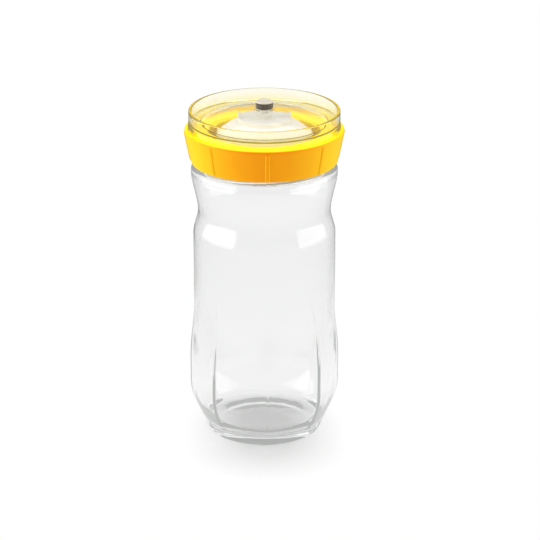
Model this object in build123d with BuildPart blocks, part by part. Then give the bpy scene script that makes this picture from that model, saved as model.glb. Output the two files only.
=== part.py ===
"""A glass jar for fermenting vegetables, with a screw lid, a water lock and a spring press.

Millimetres. +Z is up and the origin is the middle of the jar's foot. A ridge of the glass and a
rib of the lid face -Y.
"""

import os
from math import cos, degrees, radians, sin, sqrt

from build123d import *

os.makedirs("parts", exist_ok=True)

# Glass body, from the foot up
side_count = 8
body_radius = 52.3
taper_inset = 7.4
heel_inset = 3.3
heel_height = 9.0
taper_height = 29.5
panel_height = 19.5
fade_height = 40.0
straight_height = 56.0
ridge_rise = 3.0
heel_ridge_rise = 0.9
ridge_half_angle = 1.6
ridge_sharpness = 0.1
glass_wall = 3.2
base_thickness = 9.0
inner_corner = 15.0
throat_drop = 4.0
taper_sections = 5
fade_sections = 4
foot_rim = 6.6
punt_depth = 3.0

# Finger groove, throat and mouth of the glass
shoulder_drop = 18.0
throat_rise = 31.0
bead_width = 4.4
bead_height = 3.0
mouth_radius = 45.5
neck_wall = 3.8
neck_height = 21.5
rim_round = 1.2

# Silicone ring between the rim and the lid
gasket_thickness = 2.0
gasket_gap = 0.4
gasket_clearance = 0.2

# Screw lid: skirt, flange and rim wall
thread_room = 2.3
flange_thickness = 2.5
skirt_length = 19.8
skirt_wall = 2.0
lip_step = 4.6
lip_wall = 2.3
lip_height = 2.1
rib_count = 8
rib_width = 3.3
rib_rise = 0.7
rib_inset = 0.9
lip_outer_round = 1.6
lip_inner_round = 0.4
skirt_round = 0.6

# Water channel and chimney in the lid
channel_gap = 1.6
channel_wall = 2.0
channel_depth = 19.6
chimney_gap = 5.2
chimney_drop = 4.5
chimney_lip = 2.5
chimney_lip_thickness = 1.5

# White dome that stands in the water channel
dome_gap = 5.9
dome_wall = 1.8
dome_skirt_drop = 4.0
dome_rise = 7.0
dome_top_radius = 20.0
dome_hole_radius = 9.3
dome_bulge = 1.2
notch_count = 4
notch_width = 6.0
notch_height = 3.5

# Cap on the dome, turned by two lugs
cap_inset = 0.6
cap_thickness = 2.4
cap_boss_length = 4.0
cap_boss_wall = 2.0
boss_clearance = 0.3
lug_height = 2.4
lug_width = 3.0
lug_length = 7.0
lug_root = 1.0
cap_round = 0.6

# Clear cover
cover_clearance = 0.4
foot_wall = 2.5
foot_height = 7.0
cover_step = 0.6
cover_wall = 2.3
cover_height = 16.0
recess_depth = 8.0
recess_width = 6.5
lug_headroom = 2.7
cover_shell = 2.2
cover_round = 0.9
seat_radius = 7.6
seat_height = 0.4

# Dark plug in the middle of the cover
plug_radius = 6.35
plug_height = 5.5
plug_round = 0.8
stem_radius = 3.5
stem_fit = 0.05
stem_length = 4.6
stem_chamfer = 0.6

# Spring press under the lid
holder_clearance = 0.3
holder_thickness = 3.0
holder_hole_count = 6
holder_hub_radius = 8.0
holder_web = 2.8
seat_ring_height = 3.0
seat_ring_width = 1.6
seat_ring_gap = 1.0
spring_gap = 4.0
wire_radius = 0.8
spring_turns = 5
spring_clearance = 0.25
plate_clearance = 3.5
plate_gap = 0.6
plate_thickness = 2.2
plate_rim_depth = 4.5
plate_rim_width = 2.0
drain_hole_radius = 2.2
drain_border = 11.6
drain_ring_count = 4

# Distance within which two heights count as the same
tolerance = 0.001

# Heights and radii that follow from the values above
taper_top = heel_height + taper_height
panel_top = taper_top + panel_height
fade_top = panel_top + fade_height
shoulder = fade_top + straight_height
groove = shoulder + shoulder_drop
heel_radius = body_radius - taper_inset
foot_radius = heel_radius - heel_inset
punt_radius = foot_radius - foot_rim
inner_radius = body_radius - glass_wall
groove_radius = mouth_radius + glass_wall
neck_radius = mouth_radius + neck_wall
bead_radius = neck_radius + bead_width
throat_radius = bead_radius - glass_wall - throat_drop / 2
bead = groove + throat_rise
neck_base = bead + bead_height
rim = neck_base + neck_height
flange_bottom = rim + gasket_thickness
flange_top = flange_bottom + flange_thickness
lip_top = flange_top + lip_height
skirt_bottom = flange_bottom - skirt_length
bore_radius = neck_radius + thread_room
gasket_radius = bore_radius - gasket_clearance
skirt_bottom_radius = bore_radius + skirt_wall
lip_bore_radius = bore_radius + lip_step
lip_radius = lip_bore_radius + lip_wall
skirt_slope = (lip_radius - skirt_bottom_radius) / (lip_top - skirt_bottom)
rib_bottom_radius = skirt_bottom_radius + skirt_slope * rib_inset
rib_top = lip_top - lip_outer_round
rib_top_radius = lip_radius - skirt_slope * lip_outer_round
channel_outer_radius = mouth_radius - channel_gap
channel_inner_radius = channel_outer_radius - channel_wall
channel_floor = flange_top - channel_depth
channel_bottom = channel_floor - channel_wall
dome_radius = channel_inner_radius - dome_gap
dome_bore_radius = dome_radius - dome_wall
dome_skirt_top = flange_top - dome_skirt_drop
dome_top = flange_top + dome_rise
dome_inset = dome_wall / 2
chimney_radius = dome_bore_radius - chimney_gap
chimney_bore_radius = chimney_radius - channel_wall
chimney_top = flange_top - chimney_drop
holder_top = chimney_top - chimney_lip_thickness
holder_bottom = holder_top - holder_thickness
boss_radius = dome_hole_radius - boss_clearance
cap_radius = dome_top_radius - cap_inset
cap_top = dome_top + cap_thickness
cover_radius = lip_bore_radius - cover_clearance
cover_foot_top = flange_top + foot_height
cover_rim_radius = cover_radius - cover_step
cover_bore_radius = cover_radius - foot_wall
cover_top = flange_top + cover_height
recess_floor = cover_top - recess_depth
dome_foot_radius = cover_rim_radius - cover_wall - recess_width
cover_apex = cap_top + lug_height + lug_headroom + cover_shell
cover_dome_rise = cover_apex - recess_floor
plug_seat = cover_apex + seat_height
plate_top = channel_bottom - plate_gap
plate_bottom = plate_top - plate_thickness
spring_top = holder_bottom - spring_clearance - wire_radius
spring_bottom = plate_top + spring_clearance + wire_radius
spring_radius = chimney_bore_radius - spring_gap - wire_radius
seat_ring_radius = spring_radius - wire_radius - seat_ring_gap
holder_rim_radius = seat_ring_radius - seat_ring_width - holder_web
holder_hole_circle = (holder_rim_radius + holder_hub_radius) / 2
holder_hole_radius = (holder_rim_radius - holder_hub_radius) / 2
plate_radius = mouth_radius - plate_clearance
drain_pitch = (plate_radius - drain_border) / drain_ring_count


def bowed_outline(panel_radius, ridge_radius):
    """Eight bowed panels joined by eight narrow ridges, as one closed line of arcs."""
    step = radians(360 / side_count)
    half = step / 2
    narrow = radians(ridge_half_angle)
    corner = ridge_radius + ridge_sharpness * (ridge_radius - panel_radius)
    sagitta = panel_radius - corner * cos(half)
    bow = ((corner * sin(half)) ** 2 + sagitta**2) / (2 * sagitta)
    centre = panel_radius - bow
    edge = half - narrow
    edge_radius = centre * cos(edge) + sqrt(bow**2 - (centre * sin(edge)) ** 2)

    def point(radius, angle):
        return (radius * cos(angle), radius * sin(angle))

    for side in range(side_count):
        middle = side * step + half
        ridge = middle + half
        start = point(edge_radius, middle - edge)
        end = point(edge_radius, middle + edge)
        ThreePointArc(start, point(panel_radius, middle), end)
        ThreePointArc(end, point(ridge_radius, ridge), point(edge_radius, ridge + narrow))


def flank_arc(start, end, bulge):
    """An arc that stands out from its chord, to the left of the way from start to end."""
    chord = sqrt((end[0] - start[0]) ** 2 + (end[1] - start[1]) ** 2)
    out = (bulge * (start[1] - end[1]) / chord, bulge * (end[0] - start[0]) / chord)
    middle = ((start[0] + end[0]) / 2 + out[0], (start[1] + end[1]) / 2 + out[1])
    ThreePointArc(start, middle, end)


def crown_arc(foot_radius, foot_height, rise):
    """A shallow arc from a foot circle up to its crown on the axis."""
    sphere = (foot_radius**2 + rise**2) / (2 * rise)
    middle = foot_radius / 2
    middle_height = foot_height + rise - sphere + sqrt(sphere**2 - middle**2)
    crown = (0, foot_height + rise)
    ThreePointArc((foot_radius, foot_height), (middle, middle_height), crown)


# Glass jar: a ribbed heel, a tapering and fading eight-sided body, then a turned neck
heel_sections = [
    (0, foot_radius, heel_ridge_rise),
    (heel_height, heel_radius, heel_ridge_rise),
]
body_sections = []
for section in range(taper_sections + 1):
    share = section / taper_sections
    left = (1 - share) ** 2
    panel = body_radius - (body_radius - heel_radius) * left
    rise = ridge_rise - (ridge_rise - heel_ridge_rise) * left
    body_sections.append((heel_height + taper_height * share, panel, rise))
for section in range(fade_sections + 1):
    share = section / fade_sections
    rise = ridge_rise * (1 - share**2)
    body_sections.append((panel_top + fade_height * share, body_radius, rise))

with BuildPart() as glass_jar:
    for height, panel, rise in heel_sections:
        with BuildSketch(Plane.XY.offset(height)):
            with BuildLine():
                bowed_outline(panel, panel + rise)
            make_face()
    loft(ruled=True)
    for height, panel, rise in body_sections:
        with BuildSketch(Plane.XY.offset(height)):
            with BuildLine():
                bowed_outline(panel, panel + rise)
            make_face()
    loft()
    with BuildSketch(Plane.XZ):
        with BuildLine():
            upright = ((0, 1), (0, 1))
            Polyline((0, fade_top), (body_radius, fade_top), (body_radius, shoulder))
            Spline((body_radius, shoulder), (groove_radius, groove), tangents=upright)
            Spline((groove_radius, groove), (bead_radius, bead), tangents=upright)
            JernArc((bead_radius, bead), (0, 1), bead_height, 90)
            Polyline(
                (bead_radius - bead_height, neck_base),
                (neck_radius, neck_base),
                (neck_radius, rim),
                (0, rim),
                (0, fade_top),
            )
        make_face()
    revolve(axis=Axis.Z)
    with BuildSketch(Plane.XZ):
        with BuildLine():
            Line((0, base_thickness), (inner_radius - inner_corner, base_thickness))
            Spline(
                (inner_radius - inner_corner, base_thickness),
                (inner_radius, taper_top),
                tangents=((1, 0), (0, 1)),
            )
            Line((inner_radius, taper_top), (inner_radius, shoulder))
            Spline((inner_radius, shoulder), (mouth_radius, groove), tangents=upright)
            Spline(
                (mouth_radius, groove),
                (throat_radius, bead - throat_drop),
                (mouth_radius, neck_base + throat_drop),
                tangents=upright,
            )
            Polyline(
                (mouth_radius, neck_base + throat_drop),
                (mouth_radius, rim),
                (0, rim),
                (0, base_thickness),
            )
        make_face()
    revolve(axis=Axis.Z, mode=Mode.SUBTRACT)
    with BuildSketch(Plane.XZ):
        with BuildLine():
            Line((0, 0), (punt_radius, 0))
            crown_arc(punt_radius, 0, punt_depth)
            Line((0, punt_depth), (0, 0))
        make_face()
    revolve(axis=Axis.Z, mode=Mode.SUBTRACT)
    fillet(glass_jar.faces().sort_by(Axis.Z)[-1].edges(), rim_round)
glass_jar.part.label = "glass_jar"
export_step(glass_jar.part, "parts/glass_jar.step")

# Silicone ring that seals the rim
with BuildPart() as jar_gasket:
    with BuildSketch(Plane.XZ):
        with Locations((mouth_radius + gasket_gap, rim)):
            Rectangle(
                gasket_radius - mouth_radius - gasket_gap,
                gasket_thickness,
                align=(Align.MIN, Align.MIN),
            )
    revolve(axis=Axis.Z)
jar_gasket.part.label = "jar_gasket"
export_step(jar_gasket.part, "parts/jar_gasket.step")

# One raised rib of the skirt, following its slope
rib_angle = degrees(rib_width / lip_radius)
with BuildPart() as lid_rib:
    with BuildSketch(Plane.XZ.rotated((0, 0, -rib_angle / 2))):
        with BuildLine():
            Polyline(
                (rib_bottom_radius - rib_rise, skirt_bottom + rib_inset),
                (rib_bottom_radius + rib_rise, skirt_bottom + rib_inset),
                (rib_top_radius + rib_rise, rib_top),
                (rib_top_radius - rib_rise, rib_top),
                close=True,
            )
        make_face()
    revolve(axis=Axis.Z, revolution_arc=rib_angle)

# Screw lid with its water channel and chimney, one moulding
with BuildPart() as screw_lid:
    with BuildSketch(Plane.XZ) as lid_outline:
        with BuildLine():
            Polyline(
                (chimney_bore_radius, channel_bottom),
                (channel_outer_radius, channel_bottom),
                (channel_outer_radius, flange_bottom),
                (bore_radius, flange_bottom),
                (bore_radius, skirt_bottom),
                (skirt_bottom_radius, skirt_bottom),
                (lip_radius, lip_top),
                (lip_bore_radius, lip_top),
                (lip_bore_radius, flange_top),
                (channel_inner_radius, flange_top),
                (channel_inner_radius, channel_floor),
                (chimney_radius, channel_floor),
                (chimney_radius, chimney_top),
                (chimney_bore_radius - chimney_lip, chimney_top),
                (chimney_bore_radius - chimney_lip, holder_top),
                (chimney_bore_radius, holder_top),
                close=True,
            )
        make_face()
        lip_corners = lid_outline.vertices().group_by(Axis.Y)[-1].sort_by(Axis.X)
        fillet(lip_corners[-1], lip_outer_round)
        fillet(lip_corners[0], lip_inner_round)
        fillet(lid_outline.vertices().group_by(Axis.Y)[0], skirt_round)
    revolve(axis=Axis.Z)
    with PolarLocations(0, rib_count):
        add(lid_rib.part)
screw_lid.part.label = "screw_lid"
export_step(screw_lid.part, "parts/screw_lid.step")

# White dome that stands in the channel, with notches for the gas to bubble through
with BuildPart() as vent_dome:
    with BuildSketch(Plane.XZ):
        with BuildLine():
            Line((dome_hole_radius, dome_top), (dome_top_radius, dome_top))
            flank_arc((dome_top_radius, dome_top), (dome_radius, dome_skirt_top), dome_bulge)
            Polyline(
                (dome_radius, dome_skirt_top),
                (dome_radius, channel_floor),
                (dome_bore_radius, channel_floor),
                (dome_bore_radius, dome_skirt_top - dome_inset),
            )
            flank_arc(
                (dome_bore_radius, dome_skirt_top - dome_inset),
                (dome_top_radius - dome_inset, dome_top - dome_wall),
                -dome_bulge,
            )
            Polyline(
                (dome_top_radius - dome_inset, dome_top - dome_wall),
                (dome_hole_radius, dome_top - dome_wall),
                (dome_hole_radius, dome_top),
            )
        make_face()
    revolve(axis=Axis.Z)
    with BuildSketch(Plane.XY.offset(channel_floor)):
        with PolarLocations(dome_radius, notch_count):
            Rectangle(4 * dome_wall, notch_width)
    extrude(amount=notch_height, mode=Mode.SUBTRACT)
vent_dome.part.label = "vent_dome"
export_step(vent_dome.part, "parts/vent_dome.step")

# Cap in the top of the dome, with two lugs to turn it by
with BuildPart() as vent_cap:
    with BuildSketch(Plane.XY.offset(dome_top)):
        Circle(cap_radius)
    extrude(amount=cap_thickness)
    fillet(vent_cap.faces().sort_by(Axis.Z)[-1].edges(), cap_round)
    with BuildSketch(Plane.XY.offset(cap_top - lug_root)):
        with PolarLocations(cap_radius - lug_width / 2, 2):
            Rectangle(lug_width, lug_length)
        Circle(cap_radius, mode=Mode.INTERSECT)
    extrude(amount=lug_root + lug_height)
    with BuildSketch(Plane.XY.offset(dome_top)):
        Circle(boss_radius)
        Circle(boss_radius - cap_boss_wall, mode=Mode.SUBTRACT)
    extrude(amount=-(dome_wall + cap_boss_length))
vent_cap.part.label = "vent_cap"
export_step(vent_cap.part, "parts/vent_cap.step")

# Clear cover: a foot inside the lip of the lid, an upright rim and a shallow dome
with BuildPart() as clear_cover:
    with BuildSketch(Plane.XZ) as cover_outline:
        with BuildLine():
            crown_arc(dome_foot_radius, recess_floor, cover_dome_rise)
            Polyline(
                (dome_foot_radius, recess_floor),
                (cover_rim_radius - cover_wall, recess_floor),
                (cover_rim_radius - cover_wall, cover_top),
                (cover_rim_radius, cover_top),
                (cover_rim_radius, cover_foot_top),
                (cover_radius, cover_foot_top),
                (cover_radius, flange_top),
                (cover_bore_radius, flange_top),
                (cover_bore_radius, recess_floor - cover_shell),
                (dome_foot_radius, recess_floor - cover_shell),
            )
            crown_arc(dome_foot_radius, recess_floor - cover_shell, cover_dome_rise)
            Line((0, cover_apex - cover_shell), (0, cover_apex))
        make_face()
        rim_corners = cover_outline.vertices().filter_by_position(
            Axis.Y, cover_top - tolerance, cover_top + tolerance
        )
        fillet(rim_corners, cover_round)
    revolve(axis=Axis.Z)
    with BuildSketch(Plane.XY.offset(plug_seat)):
        Circle(seat_radius)
    extrude(amount=-(seat_height + cover_shell / 2))
    with BuildSketch(Plane.XY.offset(plug_seat)):
        Circle(stem_radius + stem_fit)
    extrude(amount=-2 * (seat_height + cover_shell), mode=Mode.SUBTRACT)
clear_cover.part.label = "clear_cover"
export_step(clear_cover.part, "parts/clear_cover.step")

# Dark plug whose stem closes the hole of the cover
with BuildPart() as vent_plug:
    with BuildSketch(Plane.XY.offset(plug_seat)):
        Circle(plug_radius)
    extrude(amount=plug_height)
    fillet(vent_plug.faces().sort_by(Axis.Z)[-1].edges(), plug_round)
    with BuildSketch(Plane.XY.offset(plug_seat)):
        Circle(stem_radius)
    extrude(amount=-stem_length)
    chamfer(vent_plug.faces().sort_by(Axis.Z)[0].edges(), stem_chamfer)
vent_plug.part.label = "vent_plug"
export_step(vent_plug.part, "parts/vent_plug.step")

# Holder that hangs the spring from the chimney's inner lip, with holes for the gas
with BuildPart() as spring_holder:
    with BuildSketch(Plane.XY.offset(holder_bottom)):
        Circle(chimney_bore_radius - holder_clearance)
        with PolarLocations(holder_hole_circle, holder_hole_count):
            Circle(holder_hole_radius, mode=Mode.SUBTRACT)
    extrude(amount=holder_thickness)
    with BuildSketch(Plane.XY.offset(holder_bottom)):
        Circle(seat_ring_radius)
        Circle(seat_ring_radius - seat_ring_width, mode=Mode.SUBTRACT)
    extrude(amount=-seat_ring_height)
spring_holder.part.label = "spring_holder"
export_step(spring_holder.part, "parts/spring_holder.step")

# Steel spring, pressed together above the plate
with BuildPart() as press_spring:
    coil_height = spring_top - spring_bottom
    with BuildLine() as coil:
        Helix(coil_height / spring_turns, coil_height, spring_radius, center=(0, 0, spring_bottom))
    with BuildSketch(Plane(coil.line @ 0, z_dir=coil.line % 0)):
        Circle(wire_radius)
    sweep(is_frenet=True)
press_spring.part.label = "press_spring"
export_step(press_spring.part, "parts/press_spring.step")

# Press plate that keeps the vegetables under the brine
with BuildPart() as press_plate:
    with BuildSketch(Plane.XY.offset(plate_bottom)):
        Circle(plate_radius)
        Circle(drain_hole_radius, mode=Mode.SUBTRACT)
        for ring in range(1, drain_ring_count + 1):
            with PolarLocations(ring * drain_pitch, 6 * ring):
                Circle(drain_hole_radius, mode=Mode.SUBTRACT)
    extrude(amount=plate_thickness)
    with BuildSketch(Plane.XY.offset(plate_bottom)):
        Circle(plate_radius)
        Circle(plate_radius - plate_rim_width, mode=Mode.SUBTRACT)
    extrude(amount=-(plate_rim_depth - plate_thickness))
    with BuildSketch(Plane.XY.offset(plate_top)):
        Circle(seat_ring_radius)
        Circle(seat_ring_radius - seat_ring_width, mode=Mode.SUBTRACT)
    extrude(amount=seat_ring_height)
press_plate.part.label = "press_plate"
export_step(press_plate.part, "parts/press_plate.step")

for piece in (glass_jar, screw_lid, clear_cover, vent_plug):
    box = piece.part.bounding_box()
    print(piece.part.label, "from", round(box.min.Z, 2), "to", round(box.max.Z, 2))
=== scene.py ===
"""Dresses the fermenter jar: ribbed glass, screw lid, water lock, clear cover, plug and spring press.

Lengths are in metres. Each piece stands where the frame has it, and its sizes and colours are
properties in the sidebar's Fermenter Jar panel.
"""

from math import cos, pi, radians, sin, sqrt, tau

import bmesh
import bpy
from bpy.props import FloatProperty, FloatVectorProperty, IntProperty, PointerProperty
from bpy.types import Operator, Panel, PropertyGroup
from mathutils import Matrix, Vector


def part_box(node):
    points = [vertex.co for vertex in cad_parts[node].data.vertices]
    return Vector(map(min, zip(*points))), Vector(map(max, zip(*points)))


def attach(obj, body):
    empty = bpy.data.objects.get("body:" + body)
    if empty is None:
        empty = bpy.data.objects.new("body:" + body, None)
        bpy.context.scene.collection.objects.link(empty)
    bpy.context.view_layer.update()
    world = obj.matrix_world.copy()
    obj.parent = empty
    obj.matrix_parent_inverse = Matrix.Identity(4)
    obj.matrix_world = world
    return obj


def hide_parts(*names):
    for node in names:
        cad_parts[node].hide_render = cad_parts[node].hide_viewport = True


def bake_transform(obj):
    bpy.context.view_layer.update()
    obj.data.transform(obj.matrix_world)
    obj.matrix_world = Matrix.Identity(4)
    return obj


bl_info = {
    "name": "Fermenter Jar Dresser",
    "version": (1, 0, 0),
    "blender": (4, 5, 0),
    "location": "View3D > Sidebar > Fermenter Jar",
    "description": "Builds the glass, plastic, rubber and steel pieces of a vegetable fermenter jar",
    "category": "Add Mesh",
}

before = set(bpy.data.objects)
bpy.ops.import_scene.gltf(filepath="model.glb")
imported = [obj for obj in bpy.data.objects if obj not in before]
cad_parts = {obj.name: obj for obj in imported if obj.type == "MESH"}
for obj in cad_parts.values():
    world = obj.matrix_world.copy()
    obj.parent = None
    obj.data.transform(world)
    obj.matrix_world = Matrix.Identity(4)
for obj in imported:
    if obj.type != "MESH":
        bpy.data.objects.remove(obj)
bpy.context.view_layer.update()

MILLIMETRE = 0.001
SIDES = 8
STEP = tau / SIDES
MERGE_DISTANCE = 1e-7


def millimetres(name, size, description):
    """A length property whose default is given in millimetres."""
    return FloatProperty(
        name=name, description=description, default=size * MILLIMETRE, unit="LENGTH", precision=5
    )


def colour(name, value, description):
    """A colour property in linear light."""
    return FloatVectorProperty(
        name=name, description=description, default=value, subtype="COLOR", size=3, min=0, max=1
    )


def share(name, value, description):
    """A plain number between nought and one."""
    return FloatProperty(name=name, description=description, default=value, min=0, max=1)


def amount(name, value, description):
    """A plain number."""
    return FloatProperty(name=name, description=description, default=value)


def degrees(name, size, description):
    """An angle property whose default is given in degrees."""
    return FloatProperty(name=name, description=description, default=radians(size), unit="ROTATION")


class GlassSizes(PropertyGroup):
    """Sizes of the glass jar, from its foot up."""

    foot_radius: millimetres("Foot radius", 41.6, "Radius of the foot at the middle of a panel")
    foot_round: millimetres("Foot round", 1.6, "Rounding under the foot")
    heel_height: millimetres("Heel height", 9.0, "Height of the base zone")
    heel_radius: millimetres("Heel radius", 44.9, "Radius at the top of the base zone")
    heel_rise: millimetres("Heel ridge", 0.9, "Rise of the ridges in the base zone")
    taper_height: millimetres("Taper height", 29.5, "Height over which the body widens")
    body_radius: millimetres("Body radius", 52.3, "Radius of the body at the middle of a panel")
    panel_height: millimetres("Panel height", 19.5, "Height over which the ridges stay full")
    fade_height: millimetres("Fade height", 40.0, "Height over which the ridges die away")
    straight_height: millimetres("Straight height", 56.0, "Height of the round upper body")
    ridge_rise: millimetres("Ridge rise", 3.0, "Rise of a ridge over the panels")
    ridge_half_angle: degrees("Ridge half angle", 0.9, "Half the width of a ridge")
    ridge_sharpness: share("Ridge sharpness", 0.1, "How far the panels aim past the ridge's crest")
    wall: millimetres("Wall", 3.2, "Thickness of the glass")
    base: millimetres("Base", 9.0, "Thickness of the glass under the inside")
    inner_corner: millimetres("Inner corner", 15.0, "Width of the round at the inside's floor")
    punt_radius: millimetres("Punt radius", 35.0, "Radius of the hollow under the foot")
    punt_depth: millimetres("Punt depth", 3.0, "Depth of the hollow under the foot")
    shoulder_drop: millimetres("Shoulder drop", 18.0, "Height from the body's top to the groove")
    groove_radius: millimetres("Groove radius", 48.7, "Smallest radius under the bead")
    throat_rise: millimetres("Throat rise", 31.0, "Height from the groove to the bead")
    throat_drop: millimetres("Throat drop", 4.0, "How far the inside leads the bead")
    bead_radius: millimetres("Bead radius", 53.7, "Radius of the bead under the lid")
    bead_height: millimetres("Bead height", 3.0, "Height of the bead's round")
    neck_radius: millimetres("Neck radius", 49.3, "Radius of the neck between its threads")
    neck_height: millimetres("Neck height", 21.5, "Height of the neck")
    mouth_radius: millimetres("Mouth radius", 45.5, "Radius of the mouth")
    rim_round: millimetres("Rim round", 1.2, "Rounding of the mouth's edges")


class ThreadSizes(PropertyGroup):
    """Sizes of the thread that the neck and the lid share."""

    lead: millimetres("Lead", 18.0, "Rise of the lid in one turn")
    starts: IntProperty(name="Starts", description="Number of threads side by side", default=3, min=1)
    neck_depth: millimetres("Neck thread depth", 1.6, "How far the neck's thread stands out")
    lid_depth: millimetres("Lid thread depth", 1.5, "How far the lid's thread stands in")
    half_width: millimetres("Half width", 1.1, "Half the width of a thread at its root")
    margin: millimetres("Margin", 3.0, "Plain height over which a thread dies away")


class LidSizes(PropertyGroup):
    """Sizes of the screw lid, its water channel and its ribs."""

    bore_radius: millimetres("Bore radius", 51.6, "Radius inside the skirt")
    skirt_radius: millimetres("Skirt radius", 53.6, "Radius of the skirt's lower edge")
    skirt_length: millimetres("Skirt length", 19.8, "Length of the skirt below its ceiling")
    flange: millimetres("Flange", 2.5, "Thickness of the flange over the rim")
    lip_radius: millimetres("Lip radius", 58.5, "Radius of the lid's upper edge")
    lip_wall: millimetres("Lip wall", 2.3, "Thickness of the wall round the cover")
    lip_round: millimetres("Lip round", 1.9, "Rounding of the lip's outer edge")
    edge_round: millimetres("Edge round", 0.5, "Rounding of the smaller edges")
    channel_radius: millimetres("Channel radius", 41.9, "Outer radius of the water channel")
    channel_wall: millimetres("Channel wall", 2.0, "Thickness of the channel's walls")
    channel_depth: millimetres("Channel depth", 19.6, "Depth of the channel under the flange")
    chimney_radius: millimetres("Chimney radius", 29.0, "Radius of the chimney in the channel")
    chimney_height: millimetres("Chimney height", 15.1, "Height of the chimney over the channel")
    chimney_lip: millimetres("Chimney lip", 2.5, "Width of the lip inside the chimney")
    chimney_lip_thickness: millimetres("Chimney lip thickness", 1.5, "Thickness of that lip")
    rib_width: millimetres("Rib width", 3.3, "Width of the grip ribs")
    rib_rise: millimetres("Rib rise", 0.7, "How far the ribs stand out")
    rib_edge: millimetres("Rib edge", 0.35, "Width of a rib's sloping edge")
    rib_inset: millimetres("Rib inset", 0.9, "Plain height under a rib")


class VentSizes(PropertyGroup):
    """Sizes of the white dome and the cap in its top."""

    dome_radius: millimetres("Dome radius", 36.0, "Radius of the dome's skirt")
    dome_wall: millimetres("Dome wall", 1.8, "Thickness of the dome")
    skirt_height: millimetres("Skirt height", 15.6, "Height of the dome's upright skirt")
    bulge: millimetres("Bulge", 1.2, "How far the flank stands out from its chord")
    top_radius: millimetres("Top radius", 20.0, "Radius of the dome's flat top")
    hole_radius: millimetres("Hole radius", 9.3, "Radius of the hole under the cap")
    notch_width: millimetres("Notch width", 6.0, "Width of a notch in the dome's foot")
    notch_height: millimetres("Notch height", 3.5, "Height of a notch in the dome's foot")
    notches: IntProperty(name="Notches", description="Number of notches", default=4, min=1)
    cap_radius: millimetres("Cap radius", 19.4, "Radius of the cap")
    cap_thickness: millimetres("Cap thickness", 2.4, "Thickness of the cap's disc")
    cap_round: millimetres("Cap round", 0.7, "Rounding of the cap's edge")
    boss_radius: millimetres("Boss radius", 9.0, "Radius of the boss in the dome's hole")
    boss_wall: millimetres("Boss wall", 2.0, "Thickness of the boss")
    lug_width: millimetres("Lug width", 3.0, "Width of a lug along the radius")
    lug_length: millimetres("Lug length", 7.0, "Length of a lug across the radius")
    lug_round: millimetres("Lug round", 0.5, "Rounding of a lug's edges")


class CoverSizes(PropertyGroup):
    """Sizes of the clear cover and the dark plug in its middle."""

    foot_wall: millimetres("Foot wall", 2.5, "Thickness of the cover's foot")
    foot_height: millimetres("Foot height", 7.0, "Height of the foot inside the lid's lip")
    step: millimetres("Step", 0.6, "Step from the foot in to the rim")
    wall: millimetres("Wall", 2.3, "Thickness of the rim")
    rim_height: millimetres("Rim height", 16.0, "Height of the rim over the flange")
    rim_round: millimetres("Rim round", 1.0, "Rounding of the rim's top")
    recess_depth: millimetres("Recess depth", 8.0, "Depth of the recess inside the rim")
    recess_width: millimetres("Recess width", 6.5, "Width of the recess's floor")
    recess_floor: millimetres("Recess floor", 1.1, "Thickness of the recess's floor")
    dome_rise: millimetres("Dome rise", 8.7, "Rise of the cover's dome")
    shell: millimetres("Shell", 2.2, "Thickness of the cover's top")
    seat_radius: millimetres("Seat radius", 7.6, "Radius of the plug's seat")
    seat_height: millimetres("Seat height", 0.4, "Height of the plug's seat")
    hole_radius: millimetres("Hole radius", 3.55, "Radius of the plug's hole")
    edge_round: millimetres("Edge round", 0.6, "Rounding of the cover's smaller edges")
    plug_radius: millimetres("Plug radius", 6.35, "Radius of the plug's head")
    plug_round: millimetres("Plug round", 1.0, "Rounding of the head's top edge")
    plug_dish: millimetres("Plug dish", 0.35, "Depth of the hollow in the head's top")
    stem_radius: millimetres("Stem radius", 3.5, "Radius of the plug's stem")
    stem_length: millimetres("Stem length", 4.6, "Length of the plug's stem")


class PressSizes(PropertyGroup):
    """Sizes of the spring press under the lid."""

    wire_radius: millimetres("Wire radius", 0.8, "Radius of the spring's wire")
    turns: IntProperty(name="Turns", description="Number of turns of the spring", default=5, min=1)
    gasket_round: millimetres("Gasket round", 0.5, "Rounding of the silicone ring")
    gasket_gap: millimetres("Gasket gap", 0.4, "Gap between the silicone ring and the mouth's edge")


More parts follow.
